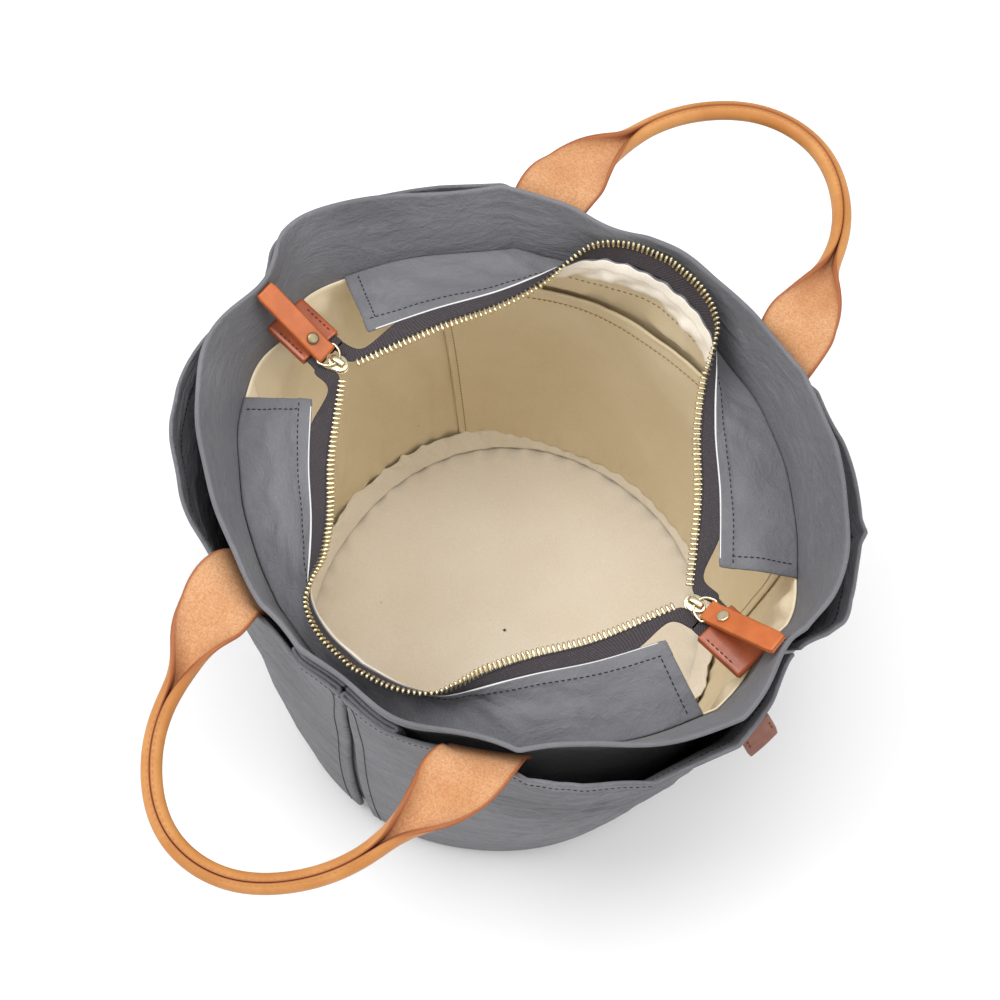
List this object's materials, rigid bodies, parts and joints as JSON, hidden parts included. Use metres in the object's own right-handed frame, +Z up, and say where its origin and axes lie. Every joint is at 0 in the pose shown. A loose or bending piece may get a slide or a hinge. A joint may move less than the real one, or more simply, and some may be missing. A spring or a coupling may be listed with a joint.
{
  "type": "tote bag",
  "caption": "Round-based fabric tote bag, open at the top, with a zip round its mouth, pleated outer pockets, a cream lining and rolled leather handles.",
  "frame": {"origin": "on the underside of the base, below the centre of the mouth", "axes": "+X along the zip from its left end to its right end, +Y from the front to the back, +Z up"},
  "size_m": [0.3597, 0.5171, 0.2604],
  "materials": {
    "grey_cotton": "washed matt cotton",
    "cream_cotton": "plain matt cotton",
    "zip_tape": "woven twill",
    "brass": "polished",
    "tan_leather": "waxed grain outside, suede inside",
    "orange_leather": "smooth, semi-gloss",
    "brown_leather": "matt"
  },
  "bodies": {
    "root": {"body_front": "grey_cotton", "body_back": "grey_cotton", "base_panel": "grey_cotton", "pocket_front_left": "grey_cotton", "pocket_front_right": "grey_cotton", "pocket_back_left": "grey_cotton", "pocket_back_right": "grey_cotton", "facing_front": "grey_cotton", "facing_back": "grey_cotton", "lining_wall": "cream_cotton", "lining_floor": "cream_cotton", "floor_binding": "cream_cotton", "inner_pocket": "cream_cotton", "zip_tape_front": "zip_tape", "zip_tape_back": "zip_tape", "zip_teeth_front": "brass", "zip_teeth_back": "brass", "zip_slider_left": "brass", "zip_slider_right": "brass", "slider_ring_left": "brass", "slider_ring_right": "brass", "pull_rivet_left": "brass", "pull_rivet_right": "brass", "handle_front": "tan_leather", "handle_back": "tan_leather", "pull_strap_left": "orange_leather", "pull_strap_right": "orange_leather", "end_tab_left": "orange_leather", "end_tab_right": "orange_leather", "side_tag": "brown_leather"}
  },
  "joints": []
}
